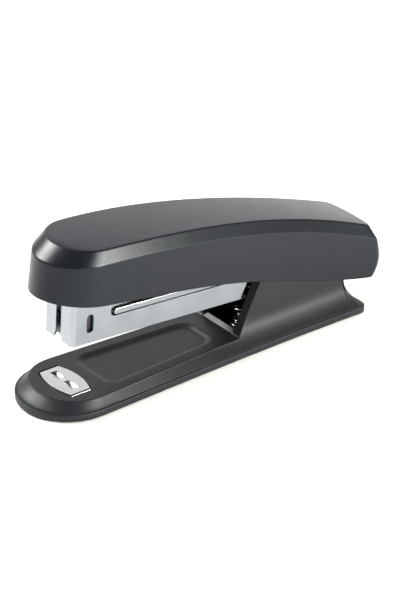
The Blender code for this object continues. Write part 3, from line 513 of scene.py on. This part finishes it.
PIVOT = np.array([PIVOT_X, 0.0, PIVOT_Z])
PIN_R = 1.8
PIN_DOME = 0.35
RING_BORE = 1.9
RING_R = 3.2


def lathed(name, profile, origin, axis, count=48):
    """A solid of revolution: each (radius, height) of the profile swept round the axis."""
    axis = np.asarray(axis, float) / np.linalg.norm(axis)
    aside = np.cross(axis, (0.0, 1.0, 0.0) if abs(axis[1]) < 0.9 else (1.0, 0.0, 0.0))
    aside /= np.linalg.norm(aside)
    angle = np.linspace(0, 2 * math.pi, count + 1)
    spoke = np.cos(angle)[:, None] * aside + np.sin(angle)[:, None] * np.cross(axis, aside)
    radius, height = np.asarray(profile, float).T
    points = np.asarray(origin) + height[:, None, None] * axis + radius[:, None, None] * spoke[None]
    return new_piece(name, points, quads(len(profile), count + 1), 32.0)


def dome(radius, rise, at, way, steps=8):
    """Profile of a shallow round end, from its rim to its pole or back."""
    a = np.linspace(0, math.pi / 2, steps)
    return [(radius * math.cos(v), at + way * rise * math.sin(v)) for v in a]


pin_end = WALL_OUT + 0.55 - PIN_DOME
pin_profile = dome(PIN_R, PIN_DOME, -pin_end, -1)[::-1] + dome(PIN_R, PIN_DOME, pin_end, 1)
pin = lathed("hinge_pin", pin_profile, PIVOT, (0, 1, 0))
TURNED = (20.0, 400.0, 20.0)
pin_steel = plated_steel("pin_turned_steel", (0.52, 0.52, 0.54), (0.66, 0.66, 0.68), 0.26, TURNED)
finish_piece(pin, pin_steel, "base", ["pivot_pin"])


def washer(low, high, bore, rim, soft=0.08):
    """Profile of a flat ring with softened edges, closed on itself."""
    lower = [(bore, low + soft), (bore + soft, low), (rim - soft, low), (rim, low + soft)]
    upper = [(rim, high - soft), (rim - soft, high), (bore + soft, high), (bore, high - soft)]
    return [*lower, *upper, lower[0]]


ring_steel = plated_steel("ring_spring_steel", (0.40, 0.40, 0.42), (0.55, 0.55, 0.57), 0.30)
for name, side, node in (("snap_ring_near", -1, "pin_ring_near"), ("snap_ring_far", 1, "pin_ring_far")):
    low, high = sorted((side * (WALL_OUT + 0.12), side * (WALL_OUT + 0.5)))
    ring = lathed(name, washer(low, high, RING_BORE, RING_R), PIVOT, (0, 1, 0))
    finish_piece(ring, ring_steel, "base", [node])

# ---------------------------------------------------------------------------
# Lifting spring: a wound steel spring on a turned cup in the floor of the
# well. It holds the magazine up off the paper.
# ---------------------------------------------------------------------------

LIFT_X = 19.6
MAG_TILT = math.radians(4.04)
MAG_NOSE = (-55.9, 22.5)


def mag_point(u, w):
    """x and z of a magazine point from u, along its floor, and w, above its floor."""
    c, s = math.cos(MAG_TILT), math.sin(MAG_TILT)
    return MAG_NOSE[0] + u * c + w * s, MAG_NOSE[1] - u * s + w * c


cup_profile = [(0, 2.62), (4.05, 2.62), (4.2, 2.77), (4.2, 3.4), (4.08, 3.52)]
cup_profile += [(2.3, 3.52), (2.1, 3.7), (2.1, 6.5), (1.95, 6.9), (1.6, 7.22), (0, 7.22)]
cup = lathed("spring_seat", cup_profile, (LIFT_X, 0, 0), (0, 0, 1))
finish_piece(cup, ring_steel, "base", ["spring_cup"])


def wound(name, start, end, radius, wire, turns, steps=40, sides=12):
    """A round wire carried along a helix whose first and last turns lie closed."""
    start, end = np.asarray(start, float), np.asarray(end, float)
    axis = (end - start) / np.linalg.norm(end - start)
    length = np.linalg.norm(end - start)
    aside = np.cross(axis, (0.0, 1.0, 0.0))
    aside /= np.linalg.norm(aside)
    t = np.linspace(0, 1, turns * steps + 1)
    stops = [wire / 2, wire * 1.6, length - wire * 1.6, length - wire / 2]
    height = np.interp(t, [0, 1 / turns, 1 - 1 / turns, 1], stops)
    blur = np.ones(9) / 9
    height = np.convolve(np.pad(height, 4, mode="edge"), blur, mode="valid")
    turn = 2 * math.pi * turns * t
    out = np.cos(turn)[:, None] * aside + np.sin(turn)[:, None] * np.cross(axis, aside)
    centre = start + axis * height[:, None] + out * radius
    a = np.linspace(0, 2 * math.pi, sides, endpoint=False)
    ring = (np.cos(a)[None, :, None] * out[:, None] + np.sin(a)[None, :, None] * axis) * wire / 2
    points = (centre[:, None] + ring).reshape(-1, 3)
    rings = len(t)
    r, k = np.meshgrid(np.arange(rings - 1), np.arange(sides), indexing="ij")
    this, following, j = r * sides, (r + 1) * sides, (k + 1) % sides
    faces = np.stack([this + k, this + j, following + j, following + k], axis=2).reshape(-1, 4).tolist()
    faces += [list(range(sides)), list(range((rings - 1) * sides, rings * sides))]
    return new_piece(name, points, faces, 50.0)


DRAWN_WIRE = (120.0, 120.0, 120.0)
# Painted shade: the springs' steel is coloured dark, so that the lifting spring shows only faint glints, as
# it would in the well's shade.
spring_steel = plated_steel("spring_steel_painted_shade", (0.26, 0.26, 0.27), (0.42, 0.42, 0.43), 0.22, DRAWN_WIRE)
LIFT_FOOT = 3.57        # the spring's lower end, on its seat
ARM_W = 6.5             # the arms' height above the line of the channel's floor
ARM_GAP = 0.45          # the spring ends this far below the arms' line
lift_top = mag_point((LIFT_X - MAG_NOSE[0]) / math.cos(MAG_TILT), ARM_W)[1] - ARM_GAP
lift_ends = (LIFT_X, 0, LIFT_FOOT), (LIFT_X, 0, lift_top)
lift = wound("lifting_spring", *lift_ends, radius=3.0, wire=0.7, turns=6)
finish_piece(lift, spring_steel, "base", ["lift_spring"])
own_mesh(lift)

# ---------------------------------------------------------------------------
# Magazine channel: nickel-plated sheet folded to a deep U, with two flanges
# turned in at the front, a sight window and a long slot in each side. The
# edges are broken as a press tool and tumbling leave them.
# ---------------------------------------------------------------------------


def broken_edges(name, node, width, segments=2, angle=32.0):
    """A worked copy of a CAD node: welded, its flats made whole, its edges rounded over by width."""
    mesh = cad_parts[node].data.copy()
    mesh.name = name
    work = bmesh.new()
    work.from_mesh(mesh)
    bmesh.ops.remove_doubles(work, verts=work.verts, dist=3e-6)
    bmesh.ops.dissolve_limit(work, angle_limit=math.radians(1.5), verts=work.verts, edges=work.edges)
    work.to_mesh(mesh)
    work.free()
    mesh.polygons.foreach_set("use_smooth", np.ones(len(mesh.polygons), bool))
    mesh.set_sharp_from_angle(angle=math.radians(angle))
    piece = bpy.data.objects.new(name, mesh)
    bpy.context.scene.collection.objects.link(piece)
    soft = piece.modifiers.new("edge", "BEVEL")
    soft.width = width * MM
    soft.segments = segments
    soft.limit_method = "ANGLE"
    soft.angle_limit = math.radians(angle)
    soft.harden_normals = True
    return piece


ROLLED_ALONG = (14.0, 300.0, 300.0)
NICKEL_DARK = (0.27, 0.293, 0.325)
NICKEL_LIGHT = (0.38, 0.405, 0.44)
channel = broken_edges("folded_channel", "magazine_channel", 0.16)
channel_steel = plated_steel("channel_nickel", NICKEL_DARK, NICKEL_LIGHT, 0.24, ROLLED_ALONG, MAG_TILT)
finish_piece(channel, channel_steel, "magazine", ["magazine_channel"])

# ---------------------------------------------------------------------------
# Core rail: a smaller folded channel riveted inside the first. The staples
# sit astride it, and the pusher's rod and spring run down its middle.
# ---------------------------------------------------------------------------

SHEET = 0.9             # thickness of the channel's floor, which the rivets' heads sit under
# Painted shade: the rail's steel and its end block are coloured dark, so that the rail seen through the
# channel's front slot reads as the shade inside the channel.
RAIL_SHADE_DARK = (0.16, 0.16, 0.17)
RAIL_SHADE_LIGHT = (0.26, 0.26, 0.27)
rail_shade_dark_steel = plated_steel("rail_painted_shade", RAIL_SHADE_DARK, RAIL_SHADE_LIGHT, 0.38, ROLLED_ALONG, MAG_TILT)
rail = broken_edges("staple_rail", "core_rail", 0.10)
finish_piece(rail, rail_shade_dark_steel, "magazine", ["core_rail"])
stop = broken_edges("rod_end_block", "rod_stop", 0.18)
finish_piece(stop, rail_shade_dark_steel, "magazine", ["rod_stop"])

rivet_steel = plated_steel("rivet_zinc_steel", (0.50, 0.50, 0.52), (0.64, 0.64, 0.66), 0.34)
mag_up = (math.sin(MAG_TILT), 0.0, math.cos(MAG_TILT))


def rivet_profile(head, shank, length, rise, lip=0.02):
    """A rivet: a quarter ellipse up to its pressed head's rim, its shank, and a slightly smaller set head."""
    arc = np.linspace(0, math.pi / 2, 8)
    low = [(head * math.sin(v), rise - rise * math.cos(v)) for v in arc]
    high = [(head * 0.92 * math.cos(v), length - rise + rise * math.sin(v)) for v in arc]
    return [*low, (head, rise + lip), (shank, rise + lip), (shank, length - rise - lip), *high]


floor_rivet_profile = rivet_profile(head=2.2, shank=1.1, length=3.6, rise=0.55)
for end, u in (("front", 22.0), ("rear", 58.0)):
    x, z = mag_point(u, -SHEET)
    rivet = lathed(f"floor_rivet_{end}", floor_rivet_profile, (x, 0, z), mag_up)
    finish_piece(rivet, rivet_steel, "magazine", [f"rail_rivet_{end}"])

# ---------------------------------------------------------------------------
# Pull bars: a bright flat bar of nickel-plated steel along each side, pressed
# into the channel's long slot. Its edges are rounded well over.
# ---------------------------------------------------------------------------

BAR_DARK = (0.28, 0.303, 0.335)
BAR_LIGHT = (0.39, 0.415, 0.45)
bar_steel = plated_steel("bar_nickel", BAR_DARK, BAR_LIGHT, 0.18, (12.0, 300.0, 300.0), MAG_TILT)
for side in ("near", "far"):
    bar = broken_edges(f"side_bar_{side}", f"pull_bar_{side}", 0.34, 4)
    finish_piece(bar, bar_steel, "magazine", [f"pull_bar_{side}"])

# ---------------------------------------------------------------------------
# Pusher: a folded steel saddle that slides along the rail on its rod, driven
# forward by a long wound spring.
# ---------------------------------------------------------------------------

BLUED_DARK = (0.045, 0.045, 0.05)
BLUED_LIGHT = (0.09, 0.09, 0.10)
ROD_R = 0.9
ROD_DOME = 0.4
ROD_W = 5.1             # the rod's height above the channel's floor
ROD_FROM = 3.3
ROD_TO = 65.9
SPRING_FROM = 15.9      # the spring's ends along the channel, behind the pusher and at the block
SPRING_TO = 61.85

pusher = broken_edges("staple_pusher", "pusher", 0.16)
pusher_steel = plated_steel("pusher_blued_steel", BLUED_DARK, BLUED_LIGHT, 0.34, ROLLED_ALONG, MAG_TILT)
finish_piece(pusher, pusher_steel, "pusher", ["pusher"])

rod_start, rod_end = mag_point(ROD_FROM, ROD_W), mag_point(ROD_TO, ROD_W)
rod_way = np.array([rod_end[0] - rod_start[0], 0.0, rod_end[1] - rod_start[1]])
rod_length = float(np.linalg.norm(rod_way))
rod_profile = dome(ROD_R, ROD_DOME, ROD_DOME, -1)[::-1] + dome(ROD_R, ROD_DOME, rod_length - ROD_DOME, 1)
guide = lathed("pusher_rod", rod_profile, (rod_start[0], 0, rod_start[1]), rod_way, 32)
finish_piece(guide, pin_steel, "magazine", ["guide_rod"])
push_start, push_end = mag_point(SPRING_FROM, ROD_W), mag_point(SPRING_TO, ROD_W)
push_ends = (push_start[0], 0, push_start[1]), (push_end[0], 0, push_end[1])
push = wound("pushing_spring", *push_ends, radius=2.0, wire=0.45, turns=13, steps=32, sides=8)
finish_piece(push, spring_steel, "magazine", ["pusher_spring"])
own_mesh(push)

# ---------------------------------------------------------------------------
# Cover frame: pressed steel, a deep inverted channel under the cover that
# ends in two eyes on the pin. The driver blade is riveted to its nose and
# the staple leaf to its roof; two screws hold it up to the cover.
# ---------------------------------------------------------------------------

press_frame = broken_edges("press_frame", "cover_frame", 0.15)
frame_steel = plated_steel("frame_zinc_steel", (0.44, 0.45, 0.47), (0.58, 0.59, 0.61), 0.34)
finish_piece(press_frame, frame_steel, "cover", ["cover_frame"])

BLADE_DARK = (0.12, 0.12, 0.125)
BLADE_LIGHT = (0.18, 0.18, 0.185)
blade = broken_edges("drive_blade", "driver_blade", 0.07)
blade_steel = plated_steel("blade_ground_steel", BLADE_DARK, BLADE_LIGHT, 0.30, (300.0, 18.0, 300.0))
finish_piece(blade, blade_steel, "cover", ["driver_blade"])

leaf = broken_edges("staple_leaf_spring", "staple_leaf", 0.09)
leaf_look = plated_steel("leaf_spring_steel", (0.42, 0.42, 0.44), (0.58, 0.58, 0.60), 0.26)
finish_piece(leaf, leaf_look, "cover", ["staple_leaf"])

PRESS = math.radians(4.6)
BLADE_PIN_U = 0.75
BLADE_PIN_W = 18.6      # height of the blade's rivets above the channel's floor, with the cover pressed
BLADE_PIN_Y = 3.2
LEAF_PIN_X = -9.0


def pressed_back(u, w):
    """x and z at rest of a point given by its place in the magazine when the cover is pressed: the
    point turned back round the pin by the press angle."""
    x, z = mag_point(u, w)
    dx, dz = x - PIVOT_X, z - PIVOT_Z
    c, s = math.cos(PRESS), math.sin(PRESS)
    return PIVOT_X + dx * c + dz * s, PIVOT_Z - dx * s + dz * c


blade_from = pressed_back(BLADE_PIN_U, BLADE_PIN_W)
blade_to = pressed_back(4.0, BLADE_PIN_W)
blade_way = (blade_to[0] - blade_from[0], 0.0, blade_to[1] - blade_from[1])
blade_pin_profile = rivet_profile(head=1.7, shank=1.0, length=2.95, rise=0.42)
for side, y in (("near", -BLADE_PIN_Y), ("far", BLADE_PIN_Y)):
    place = (blade_from[0], y, blade_from[1])
    rivet = lathed(f"blade_pin_{side}", blade_pin_profile, place, blade_way)
    finish_piece(rivet, rivet_steel, "cover", [f"blade_rivet_{side}"])

low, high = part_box("leaf_rivet")
leaf_pin_profile = rivet_profile(head=1.9, shank=1.0, length=(high[2] - low[2]) / MM, rise=0.42)
leaf_pin = lathed("leaf_pin", leaf_pin_profile, (LEAF_PIN_X, 0, low[2] / MM), (0, 0, 1))
finish_piece(leaf_pin, rivet_steel, "cover", ["leaf_rivet"])

SCREW_PLACES = {"front": -38.0, "rear": 22.0}
DRIVE_LONG = 1.3
DRIVE_WIDE = 0.24
screw_steel = plated_steel("screw_zinc_steel", (0.46, 0.46, 0.48), (0.60, 0.60, 0.62), 0.32)
head = [(0, 0), (1.7, 0), (2.15, 0.18), (2.4, 0.55), (2.4, 1.15), (2.32, 1.22), (1.2, 1.22)]
thread = [(1.2 - 0.16 * (k % 2), 1.3 + 0.22 * k) for k in range(18)]
screw_profile = [*head, *thread, (0.9, 5.6), (0, 5.8)]
for end, x in SCREW_PLACES.items():
    low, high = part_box(f"frame_screw_{end}")
    head_z = low[2] / MM
    screw = lathed(f"roof_screw_{end}", screw_profile, (x, 0, head_z), (0, 0, 1))
    bits = []
    for k, (a, b) in enumerate(((DRIVE_LONG, DRIVE_WIDE), (DRIVE_WIDE, DRIVE_LONG))):
        cross = [(x - a, -b), (x + a, -b), (x + a, b), (x - a, b)]
        bits.append(drawn_out(f"{end}_bit_{k}", cross, head_z - 0.5, head_z + 0.62, top_view))
    carve(screw, *bits)
    finish_piece(screw, screw_steel, "cover", [f"frame_screw_{end}"])

# ---------------------------------------------------------------------------
# Cover: a long black moulding, waisted in plan, with a flat sloping top, a
# wide bevel all round and plain sides. It is a thin shell, open below.
# ---------------------------------------------------------------------------

COVER_NOSE = -64.4
COVER_REAR = 69.8
NOSE_R = 16.5
SIDE_LEAN = 2.3         # how far the nose leans back up to the bevel
NOSE_SLANT = 5.2        # how far the bevel runs back at the nose
REAR_SLANT = 2.4
COVER_CORNER = 2.4
BEVEL_OUT = 1.9
BEVEL_DOWN = 4.4
SHELL = 1.2


def best_curve(stations, degree=3):
    """The polynomial that runs closest to a few (x, value) stations."""
    xs, values = zip(*stations)
    return np.poly1d(np.polyfit(xs, values, degree))


top_line = best_curve([(-64, 57.5), (-47, 56.8), (-25, 54.9), (0, 50.9), (24, 44.9), (48, 37.3), (67, 29.9)])
edge_front = [(-64, 40.5), (-46, 37.9), (-24, 34.2), (0, 30.0)]
edge_rear = [(24, 22.5), (44, 16.4), (54, 13.4), (62, 11.7), (68, 10.8)]
edge_line = best_curve([*edge_front, *edge_rear], 5)
half_front = [(-58, 14.3), (-40, 15.0), (-24, 15.1), (-8, 14.3)]
half_rear = [(8, 13.1), (30, 12.2), (52, 12.8), (68, 13.4)]
cover_half = best_curve([*half_front, *half_rear])
rear_curve = best_curve([(0, 2.6), (0.22, 0.8), (0.5, 0.0), (0.8, 0.3), (1.0, 1.0)])
cover_nose_share = np.linspace(0, math.pi / 2, 56)[:-1]
cover_share = (cover_nose_share, np.linspace(0, 1, 170), np.linspace(0, math.pi / 2, 14)[1:])


def cover_row(level, inset=0.0):
    """One run round the shell: level 0 is the lower edge, 1 the foot of the bevel, 2 the top's edge.
    Each measure runs straight from its value at one level to its value at the next."""
    side, slant = min(level, 1.0), max(level - 1.0, 0.0)
    tip = COVER_NOSE + SIDE_LEAN * side + NOSE_SLANT * slant
    nose_r = NOSE_R - 1.9 * side - 3.1 * slant
    rear = COVER_REAR - float(rear_curve(side)) - REAR_SLANT * slant
    narrow = BEVEL_OUT * slant

    def half(v):
        return cover_half(v) - narrow - inset

    x, y = plan_row(tip + inset, nose_r - inset, half, rear - inset, COVER_CORNER, cover_share)
    low, foot = edge_line(x), top_line(x) - BEVEL_DOWN - 0.3 * inset
    z = low + (foot - low) * side + (BEVEL_DOWN - 0.7 * inset) * slant
    return x, y, z


def eased_corner(before, corner, after, steps=5):
    """Rows that round a crease: a quadratic arc from one row past the crease to another."""
    before, corner, after = np.array(before), np.array(corner), np.array(after)
    shares = np.linspace(0, 1, steps)
    return [(1 - t) ** 2 * before + 2 * t * (1 - t) * corner + t ** 2 * after for t in shares]


def to_middle(row, shares, crown=0.0):
    """Rows from an edge to the middle line, with a slight crown across."""
    x, y, z = row
    return [(x, y * (1 - q), z + crown * (1 - (1 - q) ** 2) * np.minimum(1, y / 8)) for q in shares]


# Inside the shell: the roof from the middle outwards, then down the bevel and the side to the lip.
inner_steps = np.linspace(1.0, 0.1, 6)
cover_rows = to_middle(cover_row(2.0, SHELL), inner_steps)
cover_rows += [cover_row(v, SHELL) for v in np.linspace(2.0, 1.0, 6)]
cover_rows += [cover_row(v, SHELL) for v in np.linspace(0.9, 0.05, 10)]
cover_rows += [cover_row(0.02, SHELL), cover_row(0.0, SHELL - 0.2), cover_row(0.0, 0.5)]

# Outside: round the lip, up the side and the bevel, and over the top to the middle.
outer_steps = np.concatenate([np.linspace(0.07, 0.9, 22), [0.95, 1.0]])
cover_rows += eased_corner(cover_row(0.0, 0.32), cover_row(0.0), cover_row(0.022), 6)
cover_rows += [cover_row(v) for v in np.linspace(0.05, 0.95, 26)]
cover_rows += eased_corner(cover_row(0.975), cover_row(1.0), cover_row(1.09), 6)
cover_rows += [cover_row(v) for v in np.linspace(1.14, 1.86, 12)]
cover_rows += eased_corner(cover_row(1.9), cover_row(2.0), to_middle(cover_row(2.0), [0.035])[0], 7)
cover_rows += to_middle(cover_row(2.0), outer_steps, 0.25)
roof_row, top_row = len(inner_steps), len(cover_rows) - len(outer_steps) - 1
cover = new_piece("cover_moulding", *whole_skin(cover_rows, roof_row, top_row), 40.0)

# A notch in the rear wall lets the cover swing up past the base's walls.
NOTCH_HALF = 11.95
NOTCH_TOP = 21.0
notch = [(62.0, -NOTCH_HALF), (74.0, -NOTCH_HALF), (74.0, NOTCH_HALF), (62.0, NOTCH_HALF)]
carve(cover, drawn_out("notch_tool", notch, 0.0, NOTCH_TOP, top_view))

COVER_BLACK = (0.0030, 0.0038, 0.0062)
COVER_GREY = (0.0054, 0.0064, 0.0096)
cover_plastic = satin_plastic("cover_black_plastic", COVER_BLACK, COVER_GREY, 0.31)
finish_piece(cover, cover_plastic, "cover", ["cover_shell"])

BOSS_R = 2.8
BOSS_BORE = 1.5
BOSS_HANG = 3.8         # how far a boss hangs below the outside of the roof
for end, x in SCREW_PLACES.items():
    roof = float(top_line(x))
    low, top = roof - BOSS_HANG, roof - 0.7
    bore = [(0, low + 2.2), (BOSS_BORE, low + 2.2), (BOSS_BORE, low + 0.1), (BOSS_BORE + 0.1, low)]
    tube = [(BOSS_R - 0.1, low), (BOSS_R, low + 0.1), (BOSS_R, top), (0, top)]
    boss = lathed(f"screw_boss_{end}", [*bore, *tube], (x, 0, 0), (0, 0, 1))
    finish_piece(boss, cover_plastic, "cover", ())

# ---------------------------------------------------------------------------
# Room: a pale, matt studio floor, soft boxes round the stapler, and a camera
# that looks down on its nose and near side. Places of lights are in metres.
# ---------------------------------------------------------------------------

FLOOR = 3.0
corners = [(-FLOOR, -FLOOR, 0), (FLOOR, -FLOOR, 0), (FLOOR, FLOOR, 0), (-FLOOR, FLOOR, 0)]
floor_mesh = bpy.data.meshes.new("floor")
floor_mesh.from_pydata(corners, [], [(0, 1, 2, 3)])
floor = bpy.data.objects.new("floor", floor_mesh)
bpy.context.scene.collection.objects.link(floor)
floor_look, _, floor_shader, _ = nodes_of("pale_floor")
floor_shader.inputs["Base Color"].default_value = (0.90, 0.90, 0.90, 1.0)
floor_shader.inputs["Roughness"].default_value = 0.75
floor_mesh.materials.append(floor_look)

world = bpy.data.worlds.new("studio")
bpy.context.scene.world = world
world.use_nodes = True
sky = world.node_tree.nodes["Background"]
sky.inputs["Color"].default_value = (1.0, 1.0, 1.0, 1.0)
sky.inputs["Strength"].default_value = 0.25
bpy.context.scene.view_settings.view_transform = "Standard"


def soft_light(name, place, aim, size, watts, colour=(1.0, 1.0, 1.0)):
    """A rectangular area light at place, turned about z and then tipped so that it faces aim."""
    data = bpy.data.lights.new(name, "AREA")
    data.shape = "RECTANGLE"
    data.size, data.size_y = size
    data.energy = watts
    data.color = colour
    lamp = bpy.data.objects.new(name, data)
    bpy.context.scene.collection.objects.link(lamp)
    way = np.array(aim) - np.array(place)
    flat = math.hypot(way[0], way[1])
    lamp.location = place
    lamp.visible_camera = False
    lamp.rotation_euler = (math.atan2(flat, -way[2]), 0.0, math.atan2(-way[0], way[1]))
    return lamp


overhead = soft_light("overhead", (0.0, 0.0, 1.1), (0, 0, 0), (1.3, 1.0), 8.0)
overhead.visible_glossy = False
soft_light("side_box", (0.22, -1.00, 0.58), (0, 0, 0.03), (0.42, 0.42), 10.0, (1.0, 0.98, 0.94))
soft_light("low_strip", (0.35, -0.99, 0.21), (0, 0, 0.04), (0.42, 0.20), 17.0, (1.0, 0.96, 0.82))
soft_light("rear_box", (-0.42, 0.84, 0.74), (0, 0, 0.03), (0.40, 0.40), 19.0, (1.0, 0.97, 0.88))
soft_light("backdrop", (0.9, 1.1, 0.35), (0, 0, 0.05), (2.0, 1.2), 8.6)

VIEW_TURN = math.radians(-37.331)
VIEW_RISE = math.radians(28.568)
VIEW_FAR = 0.87434
LENS = 157.7
FILM_WIDTH = 36.0
FAR_CLIP = 20.0
level = math.cos(VIEW_RISE)
away = np.array([math.sin(VIEW_TURN) * level, -math.cos(VIEW_TURN) * level, math.sin(VIEW_RISE)])
target = np.array([0.648, -1.094, 18.4]) * MM
camera_data = bpy.data.cameras.new("camera")
camera_data.lens = LENS
camera_data.sensor_width = FILM_WIDTH
camera_data.clip_end = FAR_CLIP
camera = bpy.data.objects.new("camera", camera_data)
bpy.context.scene.collection.objects.link(camera)
camera.location = target + away * VIEW_FAR
camera.rotation_euler = (math.pi / 2 - VIEW_RISE, 0.0, VIEW_TURN)
bpy.context.scene.camera = camera
